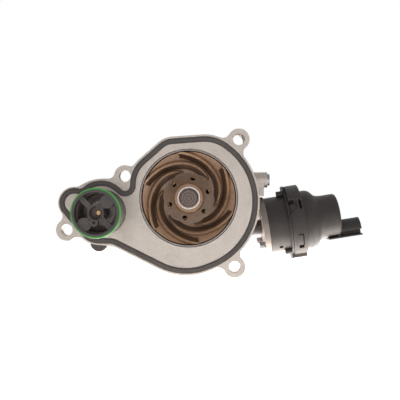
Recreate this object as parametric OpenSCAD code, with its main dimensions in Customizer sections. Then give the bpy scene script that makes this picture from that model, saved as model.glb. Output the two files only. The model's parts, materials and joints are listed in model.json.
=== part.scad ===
// Automotive water pump with thermostat insert and electric control valve.
// Millimetres. The origin is where the pump shaft's axis meets the gasket face.
// The shaft runs along Y: the engine side is -Y and the drive hub is at +Y. Z is up.

/* [Mounting flange] */
// Thickness of the mounting flange
flange_t = 10; // [8:0.5:14]
// Radius of each bolt hole
bolt_hole_r = 4.65; // [3.3:0.05:5.5]
// Radius of each bolt lug
lug_r = 8.6; // [8:0.1:10]
// Length of the long lug at the top right
long_lug_t = 24; // [14:1:30]
// Metal outside the gasket centreline
rim_w = 3.7; // [3:0.1:5]

/* [Gasket] */
// Width of the gasket
gasket_w = 4; // [3:0.1:4.6]
// Height of the gasket above the gasket face
gasket_proud = 0.6; // [0.2:0.1:1]
// Depth of the gasket groove
groove_d = 2.6; // [2:0.1:4]

/* [Pump chamber] */
// Radius of the chamber bore
chamber_r = 39.5; // [36:0.5:42]
// Depth of the chamber bore
chamber_d = 37; // [36:1:42]
// Wall of the chamber
chamber_wall = 5; // [4:0.5:7]
// Thickness of the chamber floor
floor_t = 6; // [4:0.5:9]

/* [Shaft and bearing] */
// Radius of the integral bearing shaft
shaft_r = 7.96; // [6:0.02:9]
// Front end of the shaft
shaft_front = 4; // [1:0.5:8]
// Rear end of the shaft
shaft_rear = 96; // [94:1:104]
// Outer radius of the bearing
bearing_r = 15; // [14.5:0.1:17]
// Length of the bearing
bearing_l = 39; // [34:1:42]
// Wall of the bearing boss
boss_wall = 6; // [4:0.5:9]
// Radius of the mechanical seal's cup
seal_r = 18.25; // [17:0.05:18.5]

/* [Impeller] */
// Clearance between the impeller and the control sleeve
impeller_gap = 0.9; // [0.4:0.1:3]
// Depth of the vane tips below the gasket face
vane_front = 2.5; // [1:0.5:6]
// Depth of the front of the back plate
plate_front = 14; // [10:0.5:15]
// Thickness of the back plate
plate_t = 3; // [2:0.5:4]
// Number of vanes
vane_count = 6; // [4:1:9]
// Thickness of a vane
vane_t = 1.8; // [1.2:0.1:3]

/* [Thermostat insert] */
// Radius of the insert's body
insert_r = 17.3; // [15:0.1:18]
// How far the insert stands out of the gasket face
insert_out = 46; // [30:1:55]
// Depth of its pocket in the housing
pocket_d = 24; // [16:1:30]
// Wall of the insert
insert_wall = 2.4; // [1.6:0.1:3]
// Wire radius of the insert's O-ring
ring_wire = 1.25; // [0.9:0.05:1.4]

/* [Control valve] */
// Outer radius of the base cup
base_r = 23; // [21:0.5:26]
// Length of the base cup
base_l = 16.8; // [15:0.2:22]
// Radius of the cap's wide part
cap_r = 24.5; // [23:0.5:26]
// Radius of the cap's narrow part
cap_small_r = 17.9; // [14:0.1:20]
// Length of the whole cap and base
cap_end = 60; // [54:1:70]
// Wall of the plastic shells
shell = 2.2; // [1.6:0.1:3]
// Thickness of the metal flange under the base
plate2_t = 4.5; // [3:0.5:7]
// Radius of the neck that enters the housing
neck_r = 6; // [5:0.1:8]
// Radius of the valve pin
pin_r = 2; // [1.5:0.1:3]

/* [Drive hub] */
// Radius of the hub's flange
hub_r = 34; // [28:1:37]
// Thickness of the hub's flange
hub_t = 6; // [4:0.5:9]
// Pitch circle diameter of the hub's threaded holes
hub_pcd = 52; // [44:1:56]
// Tapping radius of the hub's threaded holes
hub_hole_r = 3.4; // [2.5:0.1:4.2]

/* [Hidden] */
$fn = 96;
// Running clearance of turning and sliding fits, on the radius
fit = 0.05;
// Clearance between soft or curved faces
gap = 0.3;
// Depth by which one body of the casting runs into the next
sink = 1;

// Stations along the pump's axis
chamber_back = chamber_d + floor_t;
bearing_front = chamber_back - 2;
bearing_rear = bearing_front + bearing_l;
hub_front = bearing_rear + 2;
hub_back = shaft_rear - 3;
hub_boss_r = shaft_r + 6;
shaft_chamfer = 1;

// Thermostat axis on the gasket face
stat_x = -68;
stat_z = -11.3;
pocket_r = insert_r + gap;
pocket_wall = 4;
// Bolt positions on the gasket face: x, z
BOLTS = [[-51.1, 17.6], [40.1, 47], [36.8, -55.2], [-97.5, -25.6]];
LONG_LUG = 1;
// Depth of the foot of the gasket's sealing bead
lip_root = 0.1;
// Width of the raised sealing bead
lip_w = 2.2;
// Slack of the gasket in its groove, on each side
groove_gap = 0.2;

// Control sleeve with its web, piston and return spring
sleeve_gap = 0.4;
sleeve_r = chamber_r - sleeve_gap;
sleeve_wall = 1;
sleeve_front = 1;
web_front = 20;
web_t = 1.6;
web_back = web_front + web_t;
guide_r = seal_r + 5.75;
piston_in = guide_r + 0.1;
piston_r = guide_r + 6;
piston_l = 3.4;
piston_seal_y = web_back + piston_l / 2;
piston_seal_l = 1.5;
piston_seal_r = piston_in + 1.15;
sleeve_spring_wire = 1;
sleeve_spring_r = chamber_r - 5.3;

// Bypass port behind the flange, with its plug
bypass_x = -73.4;
bypass_z = -36.6;
bypass_r = 4.5;
bypass_front = flange_t + 6;
bypass_out = pocket_d + 5;
bypass_wall = 1.8;
bypass_plug_l = 3;
bypass_head_r = bypass_r + bypass_wall + 0.7;
bypass_head_t = 4;

// Side boss, along X
boss_y = 20;
boss_z = 15;
boss_r = 6.4;
boss_x = 38;
boss_end = 64.5;
boss_bore = 3.4;
boss_plug_l = 9;

// Bearing rows
ball_r = 2.38;
ball_count = 9;
groove_r = ball_r + 0.04;
row_r = shaft_r + 2.14;
race_r = row_r + 2.12;
ball_y = bearing_front + 9;
roller_y = bearing_front + 26;
roller_l = 10;
roller_r = 2.08;
roller_count = 12;
cage_half = 1;
cage_gap = 0.12;
bearing_seal_t = 2;

// Shaft seal
mating_ring_r = shaft_r + 6.04;
mating_back = web_front + 3;
carbon_nose_r = shaft_r + 4.04;
carbon_nose_l = 6;
cup_wall = 1.2;
cup_back = bearing_front - 6;
cup_floor = bearing_front - 8;

// Impeller
impeller_r = sleeve_r - sleeve_wall - impeller_gap;
insert_bush_r = shaft_r + 1.44;
impeller_boss_r = insert_bush_r + 2.4;
impeller_boss_front = shaft_front + 1.5;
impeller_boss_round = 1.5;
impeller_boss_back = web_front - 1;
vane_in = 20.4;
vane_sweep = 122;
vane_start = 41;
vane_steps = 24;
hole_ring_r = 16.4;
hole_ring_turn = 18.5;
hole_r = 1.9;

// Thermostat insert
insert_front = -insert_out;
groove_y = insert_front + 2.6;
ring_centre_r = insert_r + 0.3;
mouth_r = ring_centre_r - ring_wire - 0.75;
mouth_d = 8;
spider_y = insert_front + 2;
spider_t = 4;
spoke_w = 4.4;
pad_r = 5.2;
stat_hub_r = 6.2;
stat_hub_l = 23;
stat_hub_d = 17;
// The small ringed boss beside the hub: x, z, radius, bore radius
SMALL_BOSS = [-1.1, -7, 3, 1.2];
seat_y = -8;
seat_t = 2.5;
seat_back = seat_y + seat_t;
valve_plate_r = insert_r - insert_wall - 1.9;
valve_plate_t = 2;
seat_hole_r = valve_plate_r - 2.5;
capsule_r = 5;
stat_pin_r = 1.7;
stat_pin_front = spider_y + 15.5;
stat_pin_back = spider_y + 37;
stat_spring_r = seat_hole_r - 1;
bridge_y = 17;
bridge_t = 1.6;
bridge_hole_r = 3;
bridge_hole_at = (insert_r - insert_wall + capsule_r + gap) / 2 + 0.1;

// The control valve's axis starts here and rises to the right
valve_at = [64.9, 28, -23.2];
valve_tilt = 9;
neck_l = 29;
bush_r = neck_r - 1.4;
neck_groove = -neck_l + 3;
socket_near = 19;
// Screws from the valve's flange into the arm, then from the flange into the base: down, away
SCREWS = [[-17, -2], [-13, 8]];
BASE_SCREWS = [[15.5, -9.5], [13, 13]];
screw_r = 1.7;
screw_hole_r = 2.1;
screw_l = 10;
arm_head_r = 3.2;
arm_head_t = 2;
base_head_r = 3.4;
base_head_t = 4.5;
// Pegs at the rim of the base
PEGS = [[-base_r - 1.6, -6], [base_r + 0.2, -9]];
peg_r = 2.3;
rim_r = base_r + 4;
ring_r = cap_r + 3.2;
ear_r = ring_r + 2.8;
ear_w = 16;
ear_t = 1.3;
base_floor = 4.5;

// Solenoid
core_r = 7;
armature_s = 6;
armature_l = 12;
armature_back = armature_s + armature_l;
armature_lift = 3;
spring_pocket_r = 4.2;
spring_pocket_l = 9;
coil_front = base_floor + 0.5;
coil_back = 33;
bobbin_r = core_r + 1.3;
bobbin_cheek = 1.5;
can_r = base_r - shell - 1.3;
can_wall = 1.7;
winding_r = can_r - 2.5;

// Lock ring and cap
ring_start = base_l + ear_t + 0.2;
ring_end = ring_start + 11.6;
hook_w = 16;
hook_turn = 8;
ring_slot = 4;
cap_wide_end = 37.5;
cap_cone_end = 43;
socket_mid = cap_small_r - 3.9;
socket_end = cap_end + 16.6;
socket_wall = 1.5;
socket_r = 9.4;
blade_w = 2.8;
blade_t = 1;
blade_pitch = 6;
blade_x = 9;
long_plate_t = 1.2;
// Colours
ALU = [0.78, 0.75, 0.72];
STEEL = [0.62, 0.6, 0.58];
BLACK = [0.27, 0.26, 0.26];
RUBBER = [0.2, 0.19, 0.19];
BROWN = [0.45, 0.35, 0.26];
BRASS = [0.8, 0.62, 0.42];

// ---- Outlines: a belt round circles [x, z, r], counter-clockwise; r < 0 bends inwards ----
function wrap(a, low) = a - 360 * floor((a - low) / 360);
function arc_points(c, d, t0, t1) =
    let (r = c[2] + d,
         turn = r > 0 ? wrap(t1 - t0, -40) : -wrap(t0 - t1, -40),
         n = max(1, ceil(abs(turn) / 6)))
    [for (i = [0 : n]) let (t = t0 + turn * i / n) [c[0] + r * cos(t), c[1] + r * sin(t)]];
function belt(c, d = 0) =
    let (n = len(c), out = [for (i = [0 : n - 1]) outward(c[i], c[(i + 1) % n], d)])
    [for (i = [0 : n - 1]) each arc_points(c[i], d, out[(i + n - 1) % n], out[i])];
// Direction from each circle's centre to its tangent point on the straight to the next circle
function outward(a, b, d) =
    let (v = [b[0] - a[0], b[1] - a[1]])
    atan2(v[1], v[0]) - 90 + asin((a[2] - b[2]) / norm(v));

// The inward bend of radius f that touches circles a and b, on the outer side of a to b
function nook(a, b, f) =
    let (v = [b[0] - a[0], b[1] - a[1]], l = norm(v), u = v / l,
         ra = a[2] + f + 0.05, rb = b[2] + f + 0.05,
         x = (l * l + ra * ra - rb * rb) / (2 * l), h = sqrt(max(0, ra * ra - x * x)))
    [a[0] + x * u[0] + h * u[1], a[1] + x * u[1] - h * u[0], -f];
// A circle of radius r that lies just inside circle c and touches it in direction a
function within(c, r, a) =
    [c[0] + (c[2] - r + 0.05) * cos(a), c[1] + (c[2] - r + 0.05) * sin(a), r];
function grow(c, d) = [c[0], c[1], c[2] + d];
function lug(i) = [BOLTS[i][0], BOLTS[i][1], lug_r];

// Circles that the gasket's centreline runs round
ROUND_RIGHT = [-1, -3, 54.2];
ROUND_TOP = within(ROUND_RIGHT, 28, 58);
SHOULDER = [-12, 30.5, 15];
ROUND_LEFT = [-20.6, 11, 24];
STAT_TOP = [-70, -7.4, 19.2];
STAT_LEFT = [-91.4, -4, 9.8];
STAT_LOW = [-72, -19.3, 14.8];
ROUND_LOW = [-2.1, -13.2, 45.1];
GASKET = [ROUND_RIGHT, ROUND_TOP, SHOULDER, ROUND_LEFT, nook(ROUND_LEFT, STAT_TOP, 6.4), STAT_TOP,
    nook(STAT_TOP, STAT_LEFT, 7), STAT_LEFT, STAT_LOW, [-63.5, -46.5, -12.2], ROUND_LOW];
// The flange's outer edge, with its lugs and the bends beside them
EDGE_RIGHT = grow(ROUND_RIGHT, rim_w);
EDGE_TOP = grow(ROUND_TOP, rim_w);
EDGE_LEFT = grow(ROUND_LEFT, rim_w);
EDGE_STAT_TOP = [-68, -18.4, 30.3 + rim_w];
EDGE_STAT_LEFT = grow(STAT_LEFT, rim_w - 0.5);
EDGE_STAT_LOW = grow(STAT_LOW, rim_w - 0.3);
EDGE_LOW = grow(ROUND_LOW, rim_w);
EDGE = [EDGE_RIGHT, nook(EDGE_RIGHT, lug(1), 6), lug(1), nook(lug(1), EDGE_TOP, 6), EDGE_TOP,
    grow(SHOULDER, rim_w), EDGE_LEFT, nook(EDGE_LEFT, lug(0), 4), lug(0),
    nook(lug(0), EDGE_STAT_TOP, 5), EDGE_STAT_TOP, nook(EDGE_STAT_TOP, EDGE_STAT_LEFT, 5), EDGE_STAT_LEFT,
    nook(EDGE_STAT_LEFT, lug(3), 5), lug(3), nook(lug(3), EDGE_STAT_LOW, 6), EDGE_STAT_LOW,
    [-63.5, -47.6 - rim_w + 1, -12], EDGE_LOW, nook(EDGE_LOW, lug(2), 6), lug(2),
    nook(lug(2), EDGE_RIGHT, 5.5)];

// ---- Shared shapes ----
module plate(points, y0, y1)
    translate([0, y1, 0]) rotate([90, 0, 0]) linear_extrude(height = y1 - y0) polygon(points);
// A band between two offsets of one belt
module band(c, d0, d1, y0, y1) {
    inner = belt(c, d0);
    outer = belt(c, d1);
    paths = [[for (i = [0 : len(outer) - 1]) i], [for (i = [0 : len(inner) - 1]) len(outer) + i]];
    translate([0, y1, 0]) rotate([90, 0, 0])
        linear_extrude(height = y1 - y0) polygon(concat(outer, inner), paths);
}
module rod(r, y0, y1, x = 0, z = 0)
    translate([x, y0, z]) rotate([-90, 0, 0]) cylinder(r = r, h = y1 - y0);
module cone(r0, r1, y0, y1)
    translate([0, y0, 0]) rotate([-90, 0, 0]) cylinder(r1 = r0, r2 = r1, h = y1 - y0);
module tube(r_out, r_in, y0, y1, x = 0, z = 0)
    difference() {
        rod(r_out, y0, y1, x, z);
        rod(r_in, y0 - 1, y1 + 1, x, z);
    }
module torus(r, wire, y, x = 0, z = 0)
    translate([x, y, z]) rotate([-90, 0, 0]) rotate_extrude() translate([r, 0]) circle(r = wire, $fn = 24);
// The control valve's own axis is local Z; local +X points down
module around(count) for (i = [0 : count - 1]) rotate([0, 360 * i / count, 0]) children();
module at_each(places) for (p = places) translate([p[0], p[1], 0]) children();
module on_valve() translate(valve_at) rotate([0, 90 - valve_tilt, 0]) children();
module disc(r, s0, s1) translate([0, 0, s0]) cylinder(r = r, h = s1 - s0);
module pipe(r_out, r_in, s0, s1)
    difference() {
        disc(r_out, s0, s1);
        disc(r_in, s0 - 1, s1 + 1);
    }
// A coil spring along local Z
module coil(r, wire, turns, length) {
    sides = 6;
    per_turn = 14;
    n = ceil(turns * per_turn);
    points = [for (i = [0 : n], j = [0 : sides - 1])
        let (t = 360 * i / per_turn, q = 360 * j / sides, rr = r + wire * cos(q))
        [rr * cos(t), rr * sin(t), wire + (length - 2 * wire) * i / n + wire * sin(q)]];
    walls = [for (i = [0 : n - 1], j = [0 : sides - 1])
        let (k = (j + 1) % sides)
        [i * sides + j, i * sides + k, (i + 1) * sides + k, (i + 1) * sides + j]];
    ends = [[for (j = [sides - 1 : -1 : 0]) j], [for (j = [0 : sides - 1]) n * sides + j]];
    polyhedron(points, concat(walls, ends), convexity = 10);
}

// ---- Housing and gasket ----
// The casting before its bores are cut
module casting() {
    plate(belt(EDGE), 0, flange_t);
    rod(lug_r - gap, flange_t - sink, long_lug_t, BOLTS[LONG_LUG][0], BOLTS[LONG_LUG][1]);
    rod(chamber_r + chamber_wall, flange_t / 2, chamber_back);
    rod(bearing_r + boss_wall, chamber_back - sink, bearing_rear - 1);
    rod(pocket_r + pocket_wall, flange_t / 2, pocket_d + pocket_wall, stat_x, stat_z);
    for (a = [0 : 60 : 300]) rotate([0, a, 0]) stiffening_rib();
    duct_body();
    valve_arm();
    rod(bypass_r + bypass_wall, bypass_front, bypass_out, bypass_x, bypass_z);
    plate(belt([[bypass_x, bypass_z, 5], [stat_x, stat_z, 5]]), bypass_front, bypass_out);
    side_boss();
}
// The body of the duct, cleared for the head of the bolt beside it
module duct_body()
    difference() {
        plate(belt([[-20, 6, 22], [stat_x, stat_z, 17], [-20, -24, 22]]), flange_t / 2 + 1, pocket_d + 2);
        rod(lug_r + 0.4, flange_t / 2, pocket_d + 5, BOLTS[0][0], BOLTS[0][1]);
    }
// A rib between the back of the chamber and the bearing boss
module stiffening_rib()
    translate([-2, 0, 0])
        rotate([90, 0, 90])
            linear_extrude(height = 4)
                polygon([[chamber_back - sink, bearing_r + 2], [bearing_rear - 8, bearing_r + 2],
                    [bearing_rear - 8, bearing_r + boss_wall + 1], [chamber_back - sink, chamber_r]]);
// The arm and the socket that carry the control valve
module valve_arm() {
    on_valve() disc(neck_r + 5, -38, -socket_near);
    on_valve() translate([-22, -8, -30]) cube([13, 20, 30 - plate2_t]);
}
// A cylinder round the side boss's axis
module along_x(r, x0, x1)
    translate([x0, boss_y, boss_z]) rotate([0, 90, 0]) cylinder(r = r, h = x1 - x0);
module side_boss() {
    along_x(boss_r, boss_x, boss_end);
    translate([boss_x + 2, boss_y - 5, boss_z - 13.4]) cube([boss_end - boss_x - 5, 12, 13.4]);
}
module bolt_holes()
    for (p = BOLTS) rod(bolt_hole_r, -1, long_lug_t + 1, p[0], p[1]);
module gasket_groove()
    band(GASKET, -gasket_w / 2 - groove_gap, gasket_w / 2 + groove_gap, -1, groove_d);
// The hollow of the chamber, round the seal's guide
module chamber_hollow()
    difference() {
        rod(chamber_r, -1, chamber_d);
        rod(guide_r - fit, web_back - 0.6, chamber_d + 1);
    }
// The duct that joins the thermostat pocket to the back of the chamber
module duct_hollow()
    plate(belt([[-32, 4, 5], [stat_x + 8, stat_z, 6], [-32, -14, 5]]), flange_t + 3, pocket_d - 2);
module pump_housing()
    color(ALU)
    difference() {
        casting();
        chamber_hollow();
        gasket_groove();
        bolt_holes();
        rod(seal_r, web_front, cup_back);
        rod(shaft_r + 3, cup_back - 1, bearing_front + 1);
        rod(bearing_r, bearing_front, bearing_rear + 1);
        rod(pocket_r, -1, pocket_d, stat_x, stat_z);
        duct_hollow();
        rod(bypass_r, bypass_front - 1, bypass_out - 2, bypass_x, bypass_z);
        plate(belt([[bypass_x, bypass_z, 2.5], [stat_x, stat_z, 2.5]]),
            bypass_front + bypass_plug_l + 0.5, pocket_d - 0.5);
        along_x(boss_bore, boss_end - 14.5, boss_end + 5);
        on_valve() disc(neck_r + fit, -neck_l - 2, 0);
        on_valve() disc(pin_r + 0.6, -neck_l - 7, 0);
        // Weep hole in the chamber floor, behind the seal
        translate([0, chamber_d + floor_t / 2, -60]) cylinder(r = 1.6, h = 51);
        arm_screw_holes();
    }
// Two tapped holes in the arm, from the valve's flange
module arm_screw_holes()
    on_valve() at_each(SCREWS) disc(screw_r, -plate2_t - screw_l - 2, 0);

module main_gasket()
    color(RUBBER)
    union() {
        band(GASKET, -gasket_w / 2, gasket_w / 2, lip_root, groove_d - 0.1);
        band(GASKET, -lip_w / 2, lip_w / 2, -gasket_proud, lip_root + 0.1);
    }

// ---- Shaft, bearing and seal ----
module bearing_outer_ring()
    color(STEEL)
    difference() {
        rod(bearing_r, bearing_front + fit, bearing_rear);
        rod(race_r, bearing_front - 1, bearing_rear + 1);
        torus(row_r, groove_r, ball_y);
    }
module bearing_seals()
    color(RUBBER)
    for (y = [bearing_front + 1, bearing_rear - 1 - bearing_seal_t])
        tube(race_r - fit, shaft_r + 0.2, y, y + bearing_seal_t);
module bearing_balls()
    color(STEEL)
    around(ball_count) translate([row_r, ball_y, 0]) sphere(r = ball_r, $fn = 32);
module ball_cage()
    color(BRASS)
    difference() {
        tube(row_r + cage_half, row_r - cage_half, ball_y - ball_r - 1, ball_y + ball_r + 1);
        around(ball_count) translate([row_r, ball_y, 0]) sphere(r = ball_r + cage_gap, $fn = 24);
    }
// One roller, larger by g for its pocket in the cage
module roller(g)
    rod(roller_r + g, roller_y - roller_l / 2 - g, roller_y + roller_l / 2 + g, row_r, 0);
module bearing_rollers()
    color(STEEL)
    around(roller_count) roller(0);
module roller_cage()
    color(BRASS)
    difference() {
        tube(row_r + cage_half, row_r - cage_half, roller_y - roller_l / 2 - 2, roller_y + roller_l / 2 + 2);
        around(roller_count) roller(cage_gap);
    }
module pump_shaft()
    color(STEEL)
    difference() {
        union() {
            rod(shaft_r, shaft_front + shaft_chamfer, shaft_rear - shaft_chamfer);
            cone(shaft_r - shaft_chamfer, shaft_r, shaft_front, shaft_front + shaft_chamfer);
            cone(shaft_r, shaft_r - shaft_chamfer, shaft_rear - shaft_chamfer, shaft_rear);
        }
        torus(row_r, groove_r, ball_y);
    }
module seal_cup()
    color(BRASS)
    difference() {
        rod(seal_r, web_front + 4, cup_back);
        rod(seal_r - cup_wall, web_front + 3, cup_floor);
        rod(shaft_r + 1.2, 0, bearing_front);
    }
module seal_carbon_ring()
    color([0.22, 0.22, 0.23])
    union() {
        tube(carbon_nose_r, shaft_r + 1, mating_back, mating_back + carbon_nose_l);
        tube(seal_r - cup_wall - fit, shaft_r + 1, mating_back + carbon_nose_l - 1, cup_floor);
    }
module seal_mating_ring()
    color([0.85, 0.83, 0.78])
    tube(mating_ring_r, shaft_r, impeller_boss_back, mating_back);

// ---- Impeller ----
// Vane radius at t, from 0 at the inner tip to 1 at the rim
function vane_radius(t) = vane_in + (impeller_r - vane_in) * (0.77 * pow(t, 0.75) + 0.23 * pow(t, 5));
function polar(r, a) = [r * cos(a), r * sin(a)];
function vane_edge(side) =
    [for (i = [0 : vane_steps]) let (t = i / vane_steps, w = vane_t * (0.35 + 0.65 * min(1, t * 5)) / 2)
        polar(min(vane_radius(t) + side * w, impeller_r - 0.3), vane_start + vane_sweep * t)];
module vane()
    plate(concat(vane_edge(1), [for (i = [vane_steps : -1 : 0]) vane_edge(-1)[i]]),
        vane_front, plate_front + 0.5);
module impeller()
    color(BROWN)
    difference() {
        union() {
            rod(impeller_r, plate_front, plate_front + plate_t);
            rod(impeller_boss_r, impeller_boss_front + 1, plate_front + 1);
            torus(impeller_boss_r - impeller_boss_round, impeller_boss_round,
                impeller_boss_front + impeller_boss_round);
            rod(impeller_boss_r - impeller_boss_round, impeller_boss_front, plate_front + 1);
            rod(impeller_boss_r + 1, plate_front, impeller_boss_back);
            around(vane_count) vane();
        }
        rod(insert_bush_r, 0, web_front);
        around(vane_count)
            rod(hole_r, 0, web_front, hole_ring_r * cos(hole_ring_turn), hole_ring_r * sin(hole_ring_turn));
    }
module impeller_insert()
    color(STEEL)
    tube(insert_bush_r, shaft_r, impeller_boss_front - 0.6, impeller_boss_back);

// ---- Control sleeve ----
module control_sleeve()
    color(STEEL)
    union() {
        tube(sleeve_r, sleeve_r - sleeve_wall, sleeve_front, web_back);
        tube(sleeve_r - sleeve_wall / 2, piston_in + 0.5, web_front, web_back);
    }
module sleeve_piston()
    color(BLACK)
    difference() {
        tube(piston_r, piston_in, web_back, web_back + piston_l);
        tube(piston_seal_r + fit, guide_r - 1, piston_seal_y - piston_seal_l / 2 - fit,
            piston_seal_y + piston_seal_l / 2 + fit);
    }
module piston_seals()
    color(RUBBER)
    tube(piston_seal_r, guide_r + fit, piston_seal_y - piston_seal_l / 2, piston_seal_y + piston_seal_l / 2);
module sleeve_spring()
    color(STEEL)
    translate([0, web_back + gap, 0]) rotate([-90, 0, 0])
        coil(sleeve_spring_r, sleeve_spring_wire, 3, chamber_d - web_back - 2 * gap);

// ---- Drive hub ----
module drive_hub()
    color(STEEL)
    difference() {
        union() {
            rod(hub_boss_r, hub_front, hub_back);
            rod(hub_r, hub_back - hub_t, hub_back);
        }
        rod(shaft_r, hub_front - 1, shaft_rear);
        for (a = [45 : 90 : 315])
            rod(hub_hole_r, 0, shaft_rear, hub_pcd / 2 * cos(a), hub_pcd / 2 * sin(a));
    }

// ---- Thermostat insert ----
module at_stat() translate([stat_x, 0, stat_z]) children();
module thermostat_body()
    color(BLACK)
    at_stat() {
        difference() {
            rod(insert_r, insert_front, pocket_d - 1);
            rod(insert_r - insert_wall, insert_front + mouth_d, pocket_d);
            rod(mouth_r, insert_front - 1, insert_front + mouth_d + 1);
            torus(ring_centre_r, ring_wire + fit, groove_y);
        }
        difference() {
            rod(insert_r - insert_wall + 0.5, seat_y, seat_back);
            rod(seat_hole_r, seat_y - 1, seat_back + 1);
        }
        stat_spider();
    }
// Spokes, pads and the deep hub that holds the pin
module stat_spider() {
    difference() {
        union() {
            rod(stat_hub_r, spider_y, spider_y + stat_hub_l);
            for (a = [45 : 90 : 315]) rotate([0, a, 0])
                translate([stat_hub_r - 0.6, spider_y + 0.5, -spoke_w / 2])
                    cube([mouth_r + 0.9 - stat_hub_r, spider_t, spoke_w]);
            for (a = [-45, 135]) rotate([0, a, 0])
                intersection() {
                    rod(pad_r, spider_y + 0.2, spider_y + spider_t + 0.3, insert_r - pad_r, 0);
                    rod(mouth_r + 0.3, spider_y, spider_y + spider_t + 1);
                }
            rod(SMALL_BOSS[2], spider_y - 0.8, spider_y + spider_t, SMALL_BOSS[0], SMALL_BOSS[1]);
        }
        rod(stat_hub_r - 1.2, spider_y - 1, spider_y + stat_hub_d);
        rod(stat_pin_r, spider_y, spider_y + stat_hub_l + 1);
        rod(SMALL_BOSS[3], spider_y - 2, spider_y + 2.5, SMALL_BOSS[0], SMALL_BOSS[1]);
    }
}
module thermostat_o_ring()
    color([0.42, 0.68, 0.4])
    at_stat() torus(ring_centre_r, ring_wire, groove_y);
module thermostat_pin()
    color(BRASS)
    at_stat() rod(stat_pin_r, stat_pin_front, stat_pin_back);
module wax_capsule()
    color(BRASS)
    at_stat()
        difference() {
            union() {
                rod(capsule_r, spider_y + stat_hub_l + 0.5, bridge_y - 2);
                rod(capsule_r + 1, seat_back - 2, seat_back);
            }
            rod(stat_pin_r + fit, spider_y + stat_hub_l, stat_pin_back + gap);
        }
module thermostat_valve()
    color(STEEL)
    at_stat() tube(valve_plate_r, capsule_r, seat_back, seat_back + valve_plate_t);
module thermostat_spring()
    color(STEEL)
    at_stat()
        translate([0, seat_back + valve_plate_t + 0.1, 0]) rotate([-90, 0, 0])
            coil(stat_spring_r, 0.9, 4, bridge_y - seat_back - valve_plate_t - 0.2);
module thermostat_bridge()
    color(STEEL)
    at_stat()
        difference() {
            rod(insert_r - insert_wall, bridge_y, bridge_y + bridge_t);
            rod(capsule_r + gap, bridge_y - 1, bridge_y + bridge_t + 1);
            around(4) rod(bridge_hole_r, bridge_y - 1, bridge_y + bridge_t + 1, bridge_hole_at, 0);
        }

// ---- Plugs ----
module pocket_plug()
    color(BLACK)
    difference() {
        union() {
            rod(bypass_r, bypass_front - 1, bypass_front + bypass_plug_l, bypass_x, bypass_z);
            rod(bypass_head_r, bypass_front - bypass_head_t, bypass_front, bypass_x, bypass_z);
        }
        rod(pocket_r + pocket_wall + gap, 0, bypass_front + 1, stat_x, stat_z);
    }
module boss_plug()
    color(STEEL)
    difference() {
        union() {
            along_x(boss_bore, boss_end - boss_plug_l, boss_end);
            along_x(boss_bore + 1.6, boss_end, boss_end + 1.8);
        }
        along_x(2, boss_end - 2, boss_end + 4, $fn = 6);
    }

// ---- Control valve ----
module valve_flange()
    color(ALU)
    on_valve()
        difference() {
            disc(base_r + 1.3, -plate2_t, -0.01);
            disc(neck_r + gap, -plate2_t - 1, 1);
            at_each(SCREWS) disc(screw_hole_r, -plate2_t - 1, 1);
            at_each(BASE_SCREWS) disc(screw_hole_r, -plate2_t - 1, 1);
        }
// Two screws clamp the flange to the arm, and two hold the base from behind
module flange_screws()
    color(STEEL)
    on_valve() {
        at_each(SCREWS) {
            disc(screw_r, -plate2_t - screw_l, 0.2);
            disc(arm_head_r, 0.01, arm_head_t);
        }
        at_each(BASE_SCREWS) {
            disc(screw_r, -plate2_t - 0.5, base_floor - 0.5);
            disc(base_head_r, -plate2_t - base_head_t, -plate2_t);
        }
    }
module valve_base()
    color(BLACK)
    on_valve()
        difference() {
            union() {
                disc(base_r, 0, base_l);
                disc(neck_r, -neck_l, 1);
                disc(rim_r, base_l - 0.1, base_l + ear_t);
                intersection() {
                    disc(ear_r, base_l - 0.1, base_l + ear_t);
                    translate([-40, -ear_w / 2, base_l - 1]) cube([80, ear_w, 5]);
                }
                at_each(PEGS) disc(peg_r, base_l - 5.5, base_l + 0.5);
            }
            disc(base_r - shell, base_floor, base_l + 2);
            disc(bush_r, -neck_l - 1, base_floor + 0.5);
            pipe_groove();
            at_each(SCREWS) disc(arm_head_r + gap, -1, arm_head_t + 0.4);
            at_each(BASE_SCREWS) disc(screw_r, -1, base_floor - 0.4);
        }
// Groove for the neck's O-ring
module pipe_groove()
    difference() {
        disc(neck_r + 1, neck_groove, neck_groove + 2.2);
        disc(neck_r - 0.9, neck_groove - 1, neck_groove + 3);
    }
module neck_o_ring()
    color(RUBBER)
    on_valve() pipe(neck_r + fit - 0.02, neck_r - 0.85, neck_groove + 0.1, neck_groove + 2.1);
module guide_bush()
    color(BRASS)
    on_valve() pipe(bush_r, pin_r + fit, -neck_l, -2);
module valve_pin()
    color(STEEL)
    on_valve() {
        disc(pin_r, -neck_l - 2, armature_s);
        translate([0, 0, -neck_l - 4]) cylinder(r1 = 0.8, r2 = pin_r, h = 2);
    }
module solenoid_armature()
    color([0.5, 0.5, 0.52])
    on_valve() disc(core_r - fit, armature_s, armature_back);
module solenoid_core()
    color([0.5, 0.5, 0.52])
    on_valve()
        difference() {
            disc(core_r, armature_back + armature_lift + 1.5, coil_back);
            disc(spring_pocket_r, armature_back, armature_back + spring_pocket_l);
        }
module armature_spring()
    color(STEEL)
    on_valve() translate([0, 0, armature_back + 0.1])
        coil(spring_pocket_r - 1, 0.5, 5, spring_pocket_l - 0.4);
module coil_bobbin()
    color([0.85, 0.83, 0.78])
    on_valve()
        difference() {
            union() {
                disc(bobbin_r, coil_front, coil_back);
                disc(winding_r + 0.6, coil_front, coil_front + bobbin_cheek);
                disc(winding_r + 0.6, coil_back - bobbin_cheek, coil_back);
            }
            disc(core_r, coil_front - 1, coil_back + 1);
        }
module solenoid_coil()
    color([0.72, 0.4, 0.2])
    on_valve() pipe(winding_r, bobbin_r, coil_front + bobbin_cheek, coil_back - bobbin_cheek);
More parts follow.
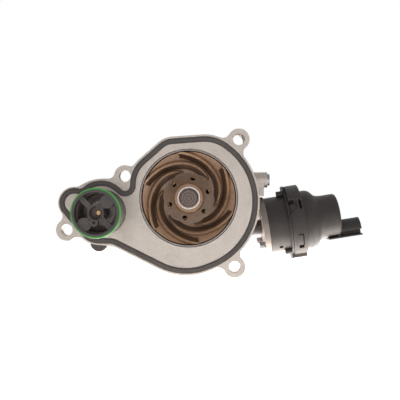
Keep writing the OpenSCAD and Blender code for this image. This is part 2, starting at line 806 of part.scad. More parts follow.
module solenoid_can()
    color(STEEL)
    on_valve()
        difference() {
            disc(can_r, coil_front - 0.4, coil_back + 1.5);
            disc(can_r - can_wall, coil_front - 1, coil_back);
        }
module lock_ring()
    color(BLACK)
    on_valve()
        difference() {
            union() {
                disc(ring_r, ring_start, ring_end);
                for (a = [0 : 90 : 270]) rotate([0, 0, a + hook_turn])
                    intersection() {
                        pipe(ear_r - 0.2, cap_r + 1.5, ring_start + 0.4, ring_end - 1);
                        translate([0, -hook_w / 2, ring_start]) cube([ear_r + 5, hook_w, 20]);
                    }
            }
            disc(cap_r + gap, ring_start - 1, ring_end + 1);
            for (a = [-38, 142]) rotate([0, 0, a])
                translate([cap_r - 4, -ring_slot / 2, ring_end - 7]) cube([20, ring_slot, 3]);
        }
module valve_cap()
    color(BLACK)
    on_valve()
        difference() {
            union() {
                disc(cap_r, ring_start, cap_wide_end);
                translate([0, 0, cap_wide_end])
                    cylinder(r1 = cap_r, r2 = cap_small_r + 0.6, h = cap_cone_end - cap_wide_end);
                disc(cap_small_r, cap_cone_end, cap_end);
            }
            disc(cap_r - shell, ring_start - 1, cap_wide_end - 1);
            disc(cap_small_r - shell, cap_wide_end - 2, cap_end - shell);
            blades(cap_end - 4, cap_end + 2);
        }
module cap_seal()
    color(RUBBER)
    on_valve() pipe(base_r - shell - fit, can_r + 0.2, base_l - 3, base_l + 1);
// The two contact blades from one station to another, as solids or as their slots
module blades(s0, s1)
    for (y = [-1, 1])
        translate([blade_x - blade_t / 2, y * blade_pitch / 2 - blade_w / 2, s0])
            cube([blade_t, blade_w, s1 - s0]);
// The connector's half-round hood, its middle plate and the long plate under the cap
module connector_shell()
    color(BLACK)
    on_valve() {
        difference() {
            intersection() {
                translate([socket_mid, 0, 0]) disc(socket_r, cap_end, socket_end);
                translate([socket_mid - socket_r - 1, -12, cap_end]) cube([socket_r + 1, 24, 40]);
            }
            intersection() {
                translate([socket_mid, 0, 0]) disc(socket_r - socket_wall, cap_end + 2, socket_end + 10);
                translate([socket_mid - socket_r - 1, -12, cap_end]) cube([socket_r - 0.4, 24, 40]);
            }
            blades(cap_end - 1, cap_end + 3);
        }
        translate([socket_mid - 0.1, -1.5, cap_end]) cube([cap_small_r - socket_mid + 0.5, 3, 17]);
        translate([cap_small_r + 0.2, -8, cap_end - 11]) cube([long_plate_t, 16, 28]);
    }
module connector_terminals()
    color(BRASS)
    on_valve()
        blades(coil_back + 2, socket_end - 6);

pump_housing();
main_gasket();
bearing_outer_ring();
bearing_seals();
bearing_balls();
ball_cage();
bearing_rollers();
roller_cage();
pump_shaft();
impeller();
impeller_insert();
seal_cup();
seal_carbon_ring();
seal_mating_ring();
control_sleeve();
sleeve_piston();
piston_seals();
sleeve_spring();
drive_hub();
thermostat_body();
thermostat_o_ring();
thermostat_pin();
wax_capsule();
thermostat_valve();
thermostat_spring();
thermostat_bridge();
pocket_plug();
boss_plug();
valve_flange();
flange_screws();
valve_base();
neck_o_ring();
guide_bush();
valve_pin();
solenoid_armature();
armature_spring();
solenoid_core();
coil_bobbin();
solenoid_coil();
solenoid_can();
lock_ring();
valve_cap();
connector_shell();
connector_terminals();
cap_seal();
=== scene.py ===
"""Water pump: finishes, detailed meshes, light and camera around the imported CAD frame. Units are metres."""
import json
import math
import bpy
import bmesh
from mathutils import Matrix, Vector


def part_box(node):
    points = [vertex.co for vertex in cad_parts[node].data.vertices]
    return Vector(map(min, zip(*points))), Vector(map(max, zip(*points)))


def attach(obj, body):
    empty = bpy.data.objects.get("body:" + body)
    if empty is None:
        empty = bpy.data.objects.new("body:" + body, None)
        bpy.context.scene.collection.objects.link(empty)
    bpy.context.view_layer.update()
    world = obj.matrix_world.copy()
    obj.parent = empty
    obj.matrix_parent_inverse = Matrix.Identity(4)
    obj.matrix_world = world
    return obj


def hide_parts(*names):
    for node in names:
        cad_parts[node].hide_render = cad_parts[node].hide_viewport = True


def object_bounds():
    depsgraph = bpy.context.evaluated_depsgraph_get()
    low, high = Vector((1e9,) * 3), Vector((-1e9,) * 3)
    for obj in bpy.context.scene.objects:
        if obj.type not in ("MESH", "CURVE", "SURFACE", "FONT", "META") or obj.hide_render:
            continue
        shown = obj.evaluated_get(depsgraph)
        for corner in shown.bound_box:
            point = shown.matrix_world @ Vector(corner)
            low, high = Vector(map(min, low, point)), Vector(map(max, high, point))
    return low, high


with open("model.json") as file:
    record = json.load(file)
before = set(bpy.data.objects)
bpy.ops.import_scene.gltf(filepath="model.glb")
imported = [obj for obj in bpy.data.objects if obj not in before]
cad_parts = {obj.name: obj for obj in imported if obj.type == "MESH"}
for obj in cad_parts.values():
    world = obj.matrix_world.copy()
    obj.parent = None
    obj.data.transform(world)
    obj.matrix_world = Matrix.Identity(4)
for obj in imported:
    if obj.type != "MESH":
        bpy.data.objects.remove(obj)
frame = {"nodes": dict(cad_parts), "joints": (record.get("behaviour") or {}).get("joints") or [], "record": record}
cad_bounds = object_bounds()
nodes = frame["nodes"]
mounts = {m["name"]: m for m in frame["record"]["mounts"]}
joints = {j["name"]: j for j in frame["joints"]}

MM = 0.001
THERMOSTAT_X, _, THERMOSTAT_Z = mounts["thermostat_port"]["pos_m"]


# ---------------------------------------------------------------- materials
class Paint:
    """A small node-graph writer for one procedural material."""

    def __init__(self, name):
        self.mat = bpy.data.materials.new(name)
        self.mat.use_nodes = True
        self.tree = self.mat.node_tree
        self.bsdf = self.tree.nodes["Principled BSDF"]
        self.coords = self.tree.nodes.new("ShaderNodeTexCoord")

    def node(self, kind, **values):
        n = self.tree.nodes.new(kind)
        for key, value in values.items():
            if key in n.inputs:
                n.inputs[key].default_value = value
            else:
                setattr(n, key, value)
        return n

    def link(self, a, b):
        self.tree.links.new(a, b)

    def noise(self, scale, detail=4.0, roughness=0.55):
        n = self.node("ShaderNodeTexNoise", Scale=scale, Detail=detail, Roughness=roughness)
        self.link(self.coords.outputs["Object"], n.inputs["Vector"])
        return n.outputs["Fac"]

    def ramp(self, source, stops):
        """Colours or greys along a 0 to 1 signal."""
        n = self.node("ShaderNodeValToRGB")
        ramp = n.color_ramp
        while len(ramp.elements) < len(stops):
            ramp.elements.new(0.5)
        for element, (place, colour) in zip(ramp.elements, stops):
            element.position = place
            element.color = (*colour, 1) if len(colour) == 3 else colour
        self.link(source, n.inputs["Fac"])
        return n.outputs["Color"]

    def grey_ramp(self, source, low, high, start=0.3, stop=0.7):
        return self.ramp(source, [(start, (low,) * 3), (stop, (high,) * 3)])

    def mix(self, factor, a, b):
        n = self.node("ShaderNodeMix", data_type="RGBA")
        self.link(factor, n.inputs[0])
        for socket, value in ((n.inputs[6], a), (n.inputs[7], b)):
            if isinstance(value, tuple):
                socket.default_value = (*value, 1)
            else:
                self.link(value, socket)
        return n.outputs[2]

    def multiply(self, a, b):
        n = self.node("ShaderNodeMix", data_type="RGBA", blend_type="MULTIPLY")
        n.inputs[0].default_value = 1.0
        self.link(a, n.inputs[6])
        self.link(b, n.inputs[7])
        return n.outputs[2]

    def bump(self, source, strength, distance=0.0003, rounding=0.0):
        n = self.node("ShaderNodeBump", Strength=strength, Distance=distance)
        self.link(source, n.inputs["Height"])
        if rounding:
            bevel = self.node("ShaderNodeBevel", samples=4)
            bevel.inputs["Radius"].default_value = rounding
            self.link(bevel.outputs[0], n.inputs["Normal"])
        self.link(n.outputs[0], self.bsdf.inputs["Normal"])

    def colour(self, source):
        self.link(source, self.bsdf.inputs["Base Color"])

    def roughness(self, source):
        self.link(source, self.bsdf.inputs["Roughness"])

    def set(self, **values):
        for key, value in values.items():
            self.bsdf.inputs[key.replace("_", " ")].default_value = value
        return self


def linear(r, g, b):
    """Linear colour from 0 to 255 display values."""
    def one(v):
        v /= 255
        return v / 12.92 if v <= 0.04045 else ((v + 0.055) / 1.055) ** 2.4
    return (one(r), one(g), one(b))


def scaled_distance(p, centre, radii):
    """0 at a point and 1 at the given radii from it. A radius of None leaves that direction out."""
    offset = p.node("ShaderNodeVectorMath", operation="MULTIPLY_ADD")
    p.link(p.coords.outputs["Object"], offset.inputs[0])
    offset.inputs[1].default_value = [1 / r if r else 0 for r in radii]
    offset.inputs[2].default_value = [-c / r if r else 0 for c, r in zip(centre, radii)]
    reach = p.node("ShaderNodeVectorMath", operation="LENGTH")
    p.link(offset.outputs["Vector"], reach.inputs[0])
    return reach.outputs["Value"]


def line_distance(p, x, z, reach):
    """0 on a line along Y and 1 at a distance of reach from it."""
    return scaled_distance(p, (x, 0, z), (reach, None, reach))


WHITE = (1.0, 1.0, 1.0)
# Faint stains on the machined face: x, z and radius
STAINS = ((-50 * MM, -29 * MM, 9 * MM), (-14 * MM, -46 * MM, 10 * MM))


def cast_aluminium():
    p = Paint("cast_aluminium").set(Metallic=0.55, Specular_IOR_Level=0.4)
    broad = p.noise(45, 5)
    grain = p.noise(900, 3, 0.7)
    tone = p.ramp(broad, [(0.3, linear(196, 186, 177)), (0.7, linear(212, 201, 192))])
    speck = p.ramp(grain, [(0.35, linear(178, 168, 160)), (0.62, linear(220, 210, 201))])
    skin = p.mix(p.grey_ramp(p.noise(260), 0.25, 0.55), tone, speck)
    for x, z, size in STAINS:
        blot = p.mix(p.grey_ramp(p.noise(220, 5), 0.0, 1.0), WHITE, (0.8, 0.79, 0.78))
        outside = p.grey_ramp(line_distance(p, x, z, size), 0.0, 1.0, 0.2, 1.0)
        skin = p.multiply(skin, p.mix(outside, blot, WHITE))
    p.colour(skin)
    p.roughness(p.grey_ramp(p.noise(300), 0.42, 0.6))
    p.bump(grain, 0.35, 0.0002, rounding=0.0005)
    return p.mat


def metal(name, rgb, rough=(0.25, 0.4), metallic=0.9, scale=400):
    p = Paint(name).set(Metallic=metallic)
    dark = tuple(c * 0.8 for c in linear(*rgb))
    p.colour(p.ramp(p.noise(scale), [(0.3, dark), (0.7, linear(*rgb))]))
    p.roughness(p.grey_ramp(p.noise(scale * 2), *rough))
    p.bump(p.noise(scale * 4), 0.1, 0.0001, rounding=0.0003)
    return p.mat


def moulded_skin(p, rough=(0.45, 0.6), grain=0.12, scale=1400, rounding=0.0005):
    """The roughness and fine grain of a moulded surface."""
    p.roughness(p.grey_ramp(p.noise(350), *rough))
    p.bump(p.noise(scale, 2), grain, 0.00015, rounding=rounding)


def plastic(name, rgb, rough=(0.45, 0.6), grain=0.12, scale=1400, rounding=0.0005):
    p = Paint(name).set(Specular_IOR_Level=0.35)
    base = linear(*rgb)
    light = tuple(c * 1.25 for c in base)
    p.colour(p.ramp(p.noise(60, 5), [(0.3, base), (0.75, light)]))
    moulded_skin(p, rough, grain, scale, rounding)
    return p.mat


def insert_plastic():
    """The thermostat insert: dark grey outside; down in its bore and hub the colour is painted paler, painted
    light that makes up for the shade deep inside.
    """
    inner_edge, front, painted_light_span = 15.2 * MM, -42 * MM, 10 * MM
    p = Paint("insert_plastic").set(Specular_IOR_Level=0.35)
    base = p.ramp(p.noise(60, 5), [(0.3, linear(92, 86, 83)), (0.75, linear(102, 95, 92))])
    parts = p.node("ShaderNodeSeparateXYZ")
    p.link(p.coords.outputs["Object"], parts.inputs[0])
    depth = p.node("ShaderNodeMath", operation="MULTIPLY_ADD")
    p.link(parts.outputs["Y"], depth.inputs[0])
    depth.inputs[1].default_value = 1 / painted_light_span
    depth.inputs[2].default_value = -front / painted_light_span
    # Painted light: the colour grows up to 3.4 times paler with depth in the bore, standing in for light that
    # reaches deep inside
    pale = p.ramp(depth.outputs[0], [(0.0, WHITE), (0.7, (3.4, 3.3, 3.3))])
    reach = line_distance(p, THERMOSTAT_X, THERMOSTAT_Z, 2 * inner_edge)
    inside = p.grey_ramp(reach, 1.0, 0.0, 0.495, 0.506)
    p.colour(p.multiply(base, p.mix(inside, WHITE, pale)))
    moulded_skin(p)
    return p.mat


# Painted shade for the oval hole low on the valve's base, which is not cut: its place, and its radii with a deep
# reach along Y
OVAL_SHADE_AT = (76.0 * MM, 14.6 * MM, -40.2 * MM)
OVAL_SHADE_RADII = (1.8 * MM, 20 * MM, 1.2 * MM)


def base_plastic():
    """The valve's base: black, with painted shade for a small oval hole low on its engine side: a dark patch that
    reflects less, not a cut hole.
    """
    p = Paint("base_plastic").set(Specular_IOR_Level=0.35)
    base = p.ramp(p.noise(60, 5), [(0.3, linear(63, 58, 56)), (0.75, linear(70, 64, 62))])
    reach = scaled_distance(p, OVAL_SHADE_AT, OVAL_SHADE_RADII)
    # Painted shade of the oval hole: darker colour and weaker reflection inside the patch
    p.link(p.grey_ramp(reach, 0.0, 0.35, 0.85, 1.0), p.bsdf.inputs["Specular IOR Level"])
    p.colour(p.multiply(base, p.grey_ramp(reach, 0.04, 1.0, 0.85, 1.0)))
    moulded_skin(p)
    return p.mat


def bronze_plastic(name, deep, mid, light, rim):
    """The impeller's filled plastic: brown with a streaky skin; along the radius it is painted darker round the
    hub and paler towards the rim, painted shade and light.
    """
    p = Paint(name).set(Specular_IOR_Level=0.6)
    tone = p.ramp(p.noise(70, 6), [(0.3, linear(*deep)), (0.7, linear(*mid))])
    fine = p.noise(500, 4)
    skin = p.mix(p.grey_ramp(fine, 0.0, 0.45), tone, linear(*light))
    # Along the wheel's radius: a bright hub ring, then painted shade on the darker floor round it between the
    # vanes, and painted light making it paler to the rim
    painted_radial_light = [(0.24, (1.25, 1.2, 1.15)), (0.30, (0.6, 0.56, 0.54)), (0.5, (0.75, 0.72, 0.69)),
             (0.7, (1.0, 0.97, 0.95)), (0.84, (rim, rim, rim))]
    shade = p.ramp(line_distance(p, 0, 0, 45 * MM), painted_radial_light)
    p.colour(p.multiply(skin, shade))
    p.roughness(p.grey_ramp(p.noise(180), 0.32, 0.48))
    p.bump(fine, 0.12, 0.0002, rounding=0.0004)
    return p.mat


def turned_steel():
    """The shaft's end, with fine turning rings round the axis."""
    p = Paint("shaft_steel").set(Metallic=0.7)
    rings = p.node("ShaderNodeTexWave", wave_type="RINGS", rings_direction="Y", Scale=150.0, Distortion=0.4)
    p.link(p.coords.outputs["Object"], rings.inputs["Vector"])
    p.colour(p.ramp(rings.outputs["Fac"], [(0.2, linear(88, 75, 71)), (0.9, linear(114, 99, 94))]))
    p.roughness(p.grey_ramp(p.noise(600), 0.35, 0.5))
    p.bump(rings.outputs["Fac"], 0.25, 0.0001, rounding=0.0003)
    return p.mat


def make_materials():
    return {
        "cast_aluminium": cast_aluminium(),
        "steel": metal("steel", (150, 142, 138), (0.3, 0.5)),
        "shaft_steel": turned_steel(),
        "zinc_steel": metal("zinc_steel", (170, 170, 172), (0.3, 0.45)),
        "brass": metal("brass", (205, 165, 120), (0.3, 0.45)),
        "copper": metal("copper", (176, 108, 62), (0.25, 0.4)),
        # Impeller plastics: the last number of each is the painted light at the rim
        "impeller_plastic": bronze_plastic("impeller_plastic", (128, 96, 70), (166, 130, 100),
                                           (186, 150, 118), 1.75),
        # The hub-facing flanks: a darker copy of the impeller plastic, painted shade
        "impeller_flank": bronze_plastic("impeller_flank", (72, 54, 43), (94, 72, 56),
                                         (104, 80, 62), 0.95),
        "black_plastic": plastic("black_plastic", (63, 58, 56)),
        "insert_plastic": insert_plastic(),
        "base_plastic": base_plastic(),
        "gasket_rubber": plastic("gasket_rubber", (96, 90, 87), (0.55, 0.75), 0.2, 900, 0.0002),
        "bright_bush": metal("bright_bush", (190, 178, 170), (0.3, 0.45)),
        # Painted shade for the lock ring's slots and latch grooves
        "groove_black": plastic("groove_black", (30, 27, 27)),
        "flange_metal": metal("flange_metal", (150, 140, 133), (0.45, 0.6), 0.6),
        "natural_plastic": plastic("natural_plastic", (215, 208, 190)),
        "black_rubber": plastic("black_rubber", (74, 69, 67), (0.55, 0.75), 0.2, 900, 0.0002),
        "green_rubber": plastic("green_rubber", (96, 170, 92), (0.35, 0.5), 0.06, 700, 0.0002),
        "carbon": plastic("carbon", (48, 48, 50)),
        "ceramic": plastic("ceramic", (226, 220, 208), (0.15, 0.25)),
    }


MATERIALS = make_materials()
# Nodes whose finish differs from their slot's material
FINISH = {
    "pump_shaft": "shaft_steel",
    "thermostat_body": "insert_plastic",
    "wax_capsule": "flange_metal",
    "main_gasket": "gasket_rubber",
    "impeller_insert": "bright_bush",
    "valve_flange": "flange_metal",
    "valve_base": "base_plastic",
}
SLOT_OF = {s["node"]: s["material_slot"] for s in frame["record"]["subparts"]}


def dress(obj, material):
    obj.data.materials.clear()
    obj.data.materials.append(material)


def smooth(obj, angle=32):
    obj.data.shade_smooth()
    obj.data.set_sharp_from_angle(angle=math.radians(angle))


for name, obj in nodes.items():
    dress(obj, MATERIALS[FINISH.get(name, SLOT_OF[name])])
    smooth(obj)


# ---------------------------------------------------------------- mesh helpers
def bare_object(name, bm):
    """A scene object made from a bmesh, which is used up."""
    mesh = bpy.data.meshes.new(name)
    bmesh.ops.recalc_face_normals(bm, faces=bm.faces)
    bm.to_mesh(mesh)
    bm.free()
    obj = bpy.data.objects.new(name, mesh)
    bpy.context.scene.collection.objects.link(obj)
    return obj


def new_object(name, bm, materials, body, slot, *stands_for, sharp=32):
    mesh = bpy.data.meshes.new(name)
    for material in materials.split():
        mesh.materials.append(MATERIALS[material])
    bmesh.ops.recalc_face_normals(bm, faces=bm.faces)
    bm.to_mesh(mesh)
    bm.free()
    obj = bpy.data.objects.new(name, mesh)
    bpy.context.scene.collection.objects.link(obj)
    smooth(obj, sharp)
    if stands_for:
        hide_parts(*stands_for)
    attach(obj, body)
    return obj


def rounded(profile, radii, steps=5):
    """A polyline whose corners are rounded: one radius for each inner point, 0 to keep it sharp."""
    out = [Vector(profile[0])]
    for before, corner, after, radius in zip(profile, profile[1:], profile[2:], radii):
        c = Vector(corner)
        a = (Vector(before) - c)
        b = (Vector(after) - c)
        cut = min(radius, a.length * 0.49, b.length * 0.49)
        if cut <= 0:
            out.append(c)
            continue
        p, q = c + a.normalized() * cut, c + b.normalized() * cut
        for i in range(steps + 1):
            t = i / steps
            out.append(p * (1 - t) ** 2 + c * 2 * t * (1 - t) + q * t * t)
    out.append(Vector(profile[-1]))
    return out


def lathe(bm, profile, place, segments=160, close=True):
    """Turns (radius, along) points; place(radius, along, angle) gives the 3-D point."""
    rings = []
    for r, s in profile:
        if r < 1e-7:
            rings.append([bm.verts.new(place(0, s, 0))])
        else:
            rings.append([bm.verts.new(place(r, s, 2 * math.pi * i / segments)) for i in range(segments)])
    pairs = list(zip(rings, rings[1:]))
    if close:
        pairs.append((rings[-1], rings[0]))
    for a, b in pairs:
        for i in range(segments):
            j = (i + 1) % segments
            if len(a) == 1 and len(b) == 1:
                break
            if len(a) == 1:
                bm.faces.new((a[0], b[j], b[i]))
            elif len(b) == 1:
                bm.faces.new((a[i], a[j], b[0]))
            else:
                bm.faces.new((a[i], a[j], b[j], b[i]))


def pump_point(r, y, angle):
    """A point round the pump shaft: angle runs from +X towards +Z."""
    return (r * math.cos(angle), y, r * math.sin(angle))


# ---------------------------------------------------------------- impeller
wheel_low, wheel_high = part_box("impeller")
WHEEL_R = wheel_high[0] + 0.4 * MM
WHEEL_BACK = wheel_high[1]
PLATE_FRONT = WHEEL_BACK - 9.0 * MM
PLATE_BACK = WHEEL_BACK - 2 * MM
VANE_TOP = wheel_low[1] - 0.6 * MM
BUSH_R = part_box("impeller_insert")[1][0]
BOSS_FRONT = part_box("impeller_insert")[0][1] + 0.6 * MM
VANES = 6
VANE_START = math.radians(41)
VANE_SWEEP = math.radians(122)
VANE_IN = 20.4 * MM
BALANCE_START = 18.5
BALANCE_CIRCLE_R = 16.4 * MM
BALANCE_HOLE_R = 1.9 * MM


def vane_radius(t):
    return VANE_IN + (WHEEL_R - VANE_IN) * (0.77 * t ** 0.75 + 0.23 * t ** 5)


def floor_depth(r):
    """Depth of the wheel's floor between the vanes: a rise at the hub, then a gentle climb to the rim."""
    hub = max(0, 1 - (r - 12 * MM) / (12 * MM))
    rim = max(0, (r - 21 * MM) / (WHEEL_R - 21 * MM))
    return PLATE_FRONT - 1.6 * MM * hub ** 2 - 4.0 * MM * rim


def wheel_body():
    bm = bmesh.new()
    floor = [(r * MM, floor_depth(r * MM)) for r in (12.6, 14, 16, 18, 20, 21, 24, 27, 30, 33)]
    boss = rounded([(BUSH_R, BOSS_FRONT + 1 * MM), (BUSH_R, BOSS_FRONT), (11.8 * MM, BOSS_FRONT),
                    (11.9 * MM, PLATE_FRONT - 2.4 * MM), (12.6 * MM, PLATE_FRONT - 1.7 * MM)],
                   (0.4 * MM, 1.9 * MM, 0.8 * MM))
    rim = rounded([(36 * MM, floor_depth(36 * MM)), (WHEEL_R, floor_depth(WHEEL_R)), (WHEEL_R, PLATE_BACK),
                   (12.8 * MM, PLATE_BACK), (12.8 * MM, WHEEL_BACK), (BUSH_R, WHEEL_BACK)],
                  (0.5 * MM, 0.5 * MM, 1 * MM, 0.3 * MM))
    lathe(bm, [tuple(p) for p in boss] + floor + [tuple(p) for p in rim], pump_point, 180)
    return bare_object("wheel_body", bm)


def balance_hole_cutter():
    bm = bmesh.new()
    for i in range(VANES):
        a = math.radians(BALANCE_START + 360 / VANES * i)
        x = BALANCE_CIRCLE_R * math.cos(a)
        z = BALANCE_CIRCLE_R * math.sin(a)

        def place(r, y, angle, x=x, z=z):
            return (x + r * math.cos(angle), y, z + r * math.sin(angle))
        front, back = -5 * MM, 30 * MM
        profile = [(0, front), (BALANCE_HOLE_R, front), (BALANCE_HOLE_R, back), (0, back)]
        lathe(bm, profile, place, 32, close=False)
    return bare_object("cutter", bm)


def add_vane(bm, start):
    """A swept ridge: a wide flank faces the hub and takes the darker flank material, painted shade; the crest is
    narrow and the outer side is steeper.
    """
    steps = 48
    columns = []
    for i in range(steps + 1):
        t = i / steps
        a = start + VANE_SWEEP * t
        rise = min(1, t / 0.2) ** 0.6
        top = PLATE_FRONT - (PLATE_FRONT - VANE_TOP) * rise
        flank = 4.6 * MM * min(1, 0.25 + t / 0.3) * rise
        crest = (0.7 + 0.5 * min(1, t / 0.3)) * MM
        slope = (1.0 + 1.0 * min(1, t / 0.3)) * MM
        limit = WHEEL_R - 0.2 * MM
        r = min(vane_radius(t), limit - 0.4 * MM)
        foot_in = max(r - flank, 10 * MM)
        foot_out = min(r + crest + slope, limit)
        low_in = floor_depth(foot_in) + 0.3 * MM
        low_out = floor_depth(foot_out) + 0.3 * MM
        depth = low_in - top
        section = [(foot_in, low_in),
                   (r - 0.55 * flank, top + 0.62 * depth),
                   (r - 0.16 * flank, top + 0.16 * depth),
                   (r + 0.15 * crest, top + 0.02 * depth),
                   (r + 0.6 * crest, top),
                   (r + crest, top + 0.05 * depth),
                   (r + crest + 0.4 * slope, top + 0.45 * depth),
                   (foot_out, max(low_out, top + 0.5 * depth))]
        columns.append([bm.verts.new(pump_point(min(q, limit), y, a)) for q, y in section])
    count = len(columns[0])
    for a, b in zip(columns, columns[1:]):
        for k in range(count):
            m = (k + 1) % count
            face = bm.faces.new((a[k], a[m], b[m], b[k]))
            # The hub-facing flank faces take the darker flank material: painted shade
            face.material_index = 1 if k < 2 else 0
    bm.faces.new(columns[0])
    bm.faces.new(list(reversed(columns[-1])))


def make_impeller():
    body = wheel_body()
    cutter = balance_hole_cutter()
    cut = body.modifiers.new("holes", "BOOLEAN")
    cut.object = cutter
    cut.operation = "DIFFERENCE"
    cut.solver = "EXACT"
    bpy.context.view_layer.update()
    done = bpy.data.meshes.new_from_object(body.evaluated_get(bpy.context.evaluated_depsgraph_get()))
    bpy.data.objects.remove(body)
    bpy.data.objects.remove(cutter)
    bm = bmesh.new()
    bm.from_mesh(done)
    for i in range(VANES):
        add_vane(bm, VANE_START + 2 * math.pi * i / VANES)
    return new_object("impeller_wheel", bm, "impeller_plastic impeller_flank", "rotor", "impeller_plastic",
                      "impeller")


# ---------------------------------------------------------------- control valve
VALVE_AXIS = Vector(joints["armature_slide"]["axis"]).normalized()
VALVE_END = Vector(mounts["valve_connector"]["pos_m"])
VALVE_LENGTH = 76.6 * MM
VALVE_AT = VALVE_END - VALVE_AXIS * VALVE_LENGTH
VALVE_NEAR = Vector((0, -1, 0))
VALVE_UP = VALVE_NEAR.cross(VALVE_AXIS) * -1
if VALVE_UP.z < 0:
    VALVE_UP.negate()


def valve_point(r, s, angle):
    """A point round the valve's axis: angle 0 faces the engine side and 90 degrees is up."""
    return VALVE_AT + VALVE_AXIS * s + VALVE_NEAR * (r * math.cos(angle)) + VALVE_UP * (r * math.sin(angle))


def step(x, edge, width):
    t = min(1, max(0, (x - edge) / width + 0.5))
    return t * t * (3 - 2 * t)


def window(x, low, high, width):
    return step(x, low, width) * (1 - step(x, high, width))


def around_angle(a):
    """Degrees in -180 to 180."""
    return (a + 180) % 360 - 180


# Lock ring and cap: millimetres along the valve's axis and from it, and degrees round it
RING_START = 18.4
RING_END = 29.8
RING_R = 27.7
RING_BORE_R = 24.8
RING_ROWS = 62
RING_TURNS = 540
BAY_DEPTH = 1.3


def ring_grooves(s, degrees, bay=BAY_DEPTH):
    """Depth of the bays, slots and latch grooves at a station and an angle."""
    depth = 0
    for turn in (0, 180):
        b = around_angle(degrees - turn)
        # The bay below the hook, with its slanted lower edge
        low = 24 + 1.6 * (s - 23)
        depth += bay * window(b, min(low, 30), 38.5, 2.0) * window(s, 18.2, 24.4, 0.5)
        depth += 1.8 * window(b, 35.5, 40, 1.5) * window(s, 17.5, 22.5, 0.8)
        depth += 2.6 * window(b, 23.5, 39, 1.5) * window(s, 26.7, 28.2, 0.35)
        # The spring latch: a U-shaped groove and the slot at its foot
        arm = window(b, -44, -20, 1.2) * window(s, 25.8, 26.5, 0.3)
        top = window(b, -21.6, -20.0, 0.8) * window(s, 22.3, 26.5, 0.4)
        foot = window(b, -50, -43.5, 1.4) * window(s, 22.5, 26.2, 0.4)
        depth += 0.9 * max(arm, top) + 2.4 * foot
    return depth


def ring_height(s, degrees):
    """Outer radius of the lock ring at a station and an angle."""
    a = around_angle(degrees)
    half_turn = a if a > 0 else a + 180
    hook = window(half_turn, 39, 101, 2.0) * (1 - step(s, RING_END - 0.3, 0.5))
    r = RING_R - 0.5 * (1 - step(s, RING_START + 0.5, 0.9)) - 0.6 * step(s, RING_END - 0.4, 0.9)
    parting_groove = 0.25 * window(s, 19.6, 20.2, 0.4)
    return r + 2.5 * hook - ring_grooves(s, a) - parting_groove


def make_lock_ring():
    """The ring as a skin of rows along the valve. Its slots and latch grooves are painted black inside, painted
    shade for their depth.
    """
    bm = bmesh.new()
    stations = [RING_START + (RING_END - RING_START) * i / RING_ROWS for i in range(RING_ROWS + 1)]
    turns = [2 * math.pi * k / RING_TURNS for k in range(RING_TURNS)]

    def row(s, radius):
        return [bm.verts.new(valve_point(radius(math.degrees(t)) * MM, s * MM, t)) for t in turns]
    rows = [row(s, lambda degrees, s=s: ring_height(s, degrees)) for s in stations]
    rows += [row(s, lambda degrees: RING_BORE_R) for s in (RING_END, RING_START)]
    for i, (a, b) in enumerate(zip(rows, rows[1:] + rows[:1])):
        for k in range(RING_TURNS):
            m = (k + 1) % RING_TURNS
            face = bm.faces.new((a[k], a[m], b[m], b[k]))
            # Faces in the slots and latch grooves take the near-black material: painted shade
            if i < RING_ROWS and ring_grooves(stations[i], 360 * (k + 0.5) / RING_TURNS, bay=0) > 0.45:
                face.material_index = 1
    return new_object("lock_ring_detail", bm, "black_plastic groove_black", "housing", "black_plastic",
                      "lock_ring", sharp=50)


def make_cap():
    outer = rounded([(24.4, RING_START), (24.4, 37.5), (18.6, 42.6), (17.9, 47), (17.9, 60), (0, 60)],
                    (3.2, 4.0, 3, 2.6), 8)
    inner = rounded([(0, 57.8), (15.8, 57.8), (15.8, 43), (22.2, 36.5), (22.2, RING_START)],
                    (1, 2, 1.5), 4)
    bm = bmesh.new()
    lathe(bm, [(p[0] * MM, p[1] * MM) for p in outer + inner], valve_point, 160)
    return new_object("cap_detail", bm, "black_plastic", "housing", "black_plastic", "valve_cap", sharp=50)


make_impeller()
make_lock_ring()
make_cap()


# ---------------------------------------------------------------- stage, light and camera
FLOOR_LEVEL = cad_bounds[0][2] - 0.045
WORLD_LEVEL = 0.45


def stage_floor():
    """A pale floor that the camera and mirrors see as paper white."""
    bpy.ops.mesh.primitive_plane_add(size=1.6, location=(0, 0.2, FLOOR_LEVEL))
    floor = bpy.context.object
    floor.name = "floor"
    p = Paint("floor_paint").set(Roughness=0.9)
    p.bsdf.inputs["Base Color"].default_value = (0.9, 0.9, 0.9, 1)
    p.bsdf.inputs["Emission Color"].default_value = (1, 1, 1, 1)
    floor.data.materials.append(p.mat)
    path = p.node("ShaderNodeLightPath")
    add = p.node("ShaderNodeMath", operation="MAXIMUM")
    p.link(path.outputs["Is Camera Ray"], add.inputs[0])
    p.link(path.outputs["Is Glossy Ray"], add.inputs[1])
    p.link(add.outputs[0], p.bsdf.inputs["Emission Strength"])


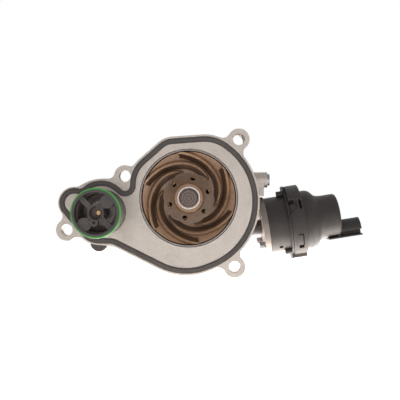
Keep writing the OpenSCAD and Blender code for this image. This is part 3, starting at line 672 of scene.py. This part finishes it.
def area_light(name, place, target, size, power, tint=(1, 1, 1)):
    data = bpy.data.lights.new(name, "AREA")
    data.shape = "SQUARE"
    data.size = size
    data.energy = power
    data.color = tint
    lamp = bpy.data.objects.new(name, data)
    bpy.context.scene.collection.objects.link(lamp)
    lamp.location = place
    lamp.rotation_euler = (Vector(target) - Vector(place)).to_track_quat("-Z", "Y").to_euler()


def world_light():
    """Even white light, which the camera sees as paper white."""
    world = bpy.data.worlds.new("studio")
    bpy.context.scene.world = world
    world.use_nodes = True
    tree = world.node_tree
    background = tree.nodes["Background"]
    background.inputs["Color"].default_value = (1, 1, 1, 1)
    path = tree.nodes.new("ShaderNodeLightPath")
    seen = tree.nodes.new("ShaderNodeMath")
    seen.operation = "MAXIMUM"
    tree.links.new(path.outputs["Is Camera Ray"], seen.inputs[0])
    tree.links.new(path.outputs["Is Transmission Ray"], seen.inputs[1])
    mix = tree.nodes.new("ShaderNodeMapRange")
    mix.inputs["To Min"].default_value = WORLD_LEVEL
    mix.inputs["To Max"].default_value = 1.0
    tree.links.new(seen.outputs[0], mix.inputs["Value"])
    tree.links.new(mix.outputs[0], background.inputs["Strength"])


CAMERA_DISTANCE = 0.56
CAMERA_X = 0.00904
CAMERA_Z = -0.0016
LENS = 63.0


def camera():
    data = bpy.data.cameras.new("camera")
    data.lens = LENS
    data.sensor_width = 36
    data.clip_start = 0.01
    cam = bpy.data.objects.new("camera", data)
    bpy.context.scene.collection.objects.link(cam)
    cam.location = (CAMERA_X, -CAMERA_DISTANCE, CAMERA_Z)
    cam.rotation_euler = (math.radians(90), 0, 0)
    bpy.context.scene.camera = cam


stage_floor()
world_light()
camera()
area_light("low_key", (0.05, 0.15, FLOOR_LEVEL + 0.004), (0.05, 0.15, 1), 0.34, 2.2, (1, 0.93, 0.87))
area_light("front_fill", (0.08, -0.92, -0.42), (0, 0, 0), 0.9, 8.8)
area_light("rear_fill", (0.2, 0.9, 0.7), (0, 0, 0), 0.9, 1.4)
bpy.context.scene.view_settings.view_transform = "Standard"
